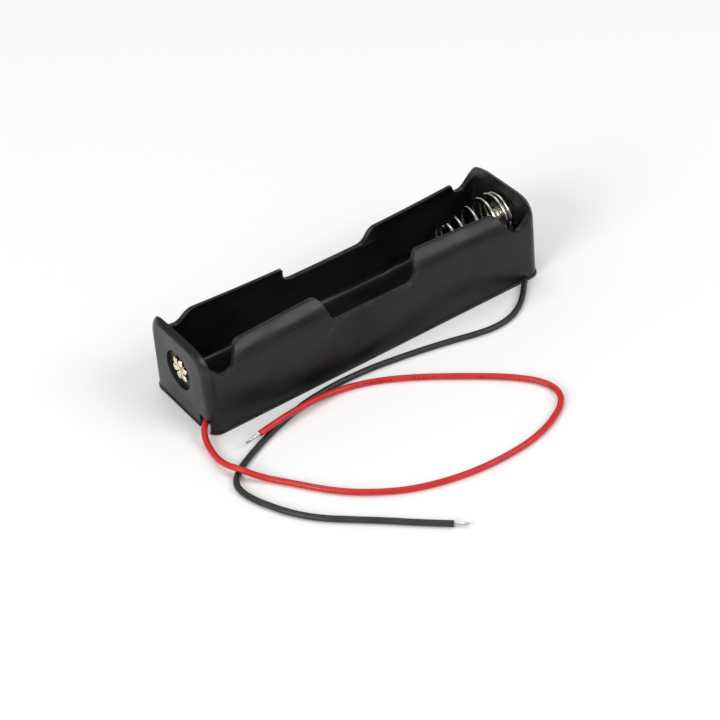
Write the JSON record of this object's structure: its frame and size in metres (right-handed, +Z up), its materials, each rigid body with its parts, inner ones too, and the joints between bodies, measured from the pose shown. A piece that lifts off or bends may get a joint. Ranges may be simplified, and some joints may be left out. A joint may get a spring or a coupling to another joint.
{
  "type": "cylindrical cell holder",
  "caption": "Open moulded holder for a standard cylindrical cell, with a coil spring at the negative end, riveted contacts and soldered leads.",
  "frame": {"origin": "under the middle of the housing's foot, on the surface it stands on", "axes": "+X along the cell towards the spring, +Y towards the back side wall, +Z up"},
  "size_m": [0.0814, 0.069, 0.0173],
  "materials": {
    "housing": "fine satin moulding",
    "plated_strip": "nickel plated strip",
    "rivet": "bright nickel plate over brass",
    "spring_wire": "bright nickel plated wire",
    "red_insulation": "soft extruded vinyl",
    "black_insulation": "soft extruded vinyl",
    "tinned_strands": "tinned twisted strands",
    "solder": "soft solder"
  },
  "bodies": {
    "holder": {"housing": "housing", "positive_contact": "plated_strip", "positive_rivet": "rivet", "positive_solder": "solder", "red_lead": "red_insulation", "red_lead_inner_end": "tinned_strands", "red_lead_tip": "tinned_strands", "negative_tag": "plated_strip", "negative_rivet": "rivet", "negative_solder": "solder", "black_lead": "black_insulation", "black_lead_inner_end": "tinned_strands", "black_lead_tip": "tinned_strands"},
    "spring": {"contact_spring": "spring_wire"}
  },
  "joints": [
    {"name": "spring_compress", "type": "slide", "parent": "holder", "child": "spring", "axis": [1, 0, 0], "range_m": [0, 0.006], "stiffness_N_per_m": 600, "deforming": ["contact_spring"]}
  ]
}
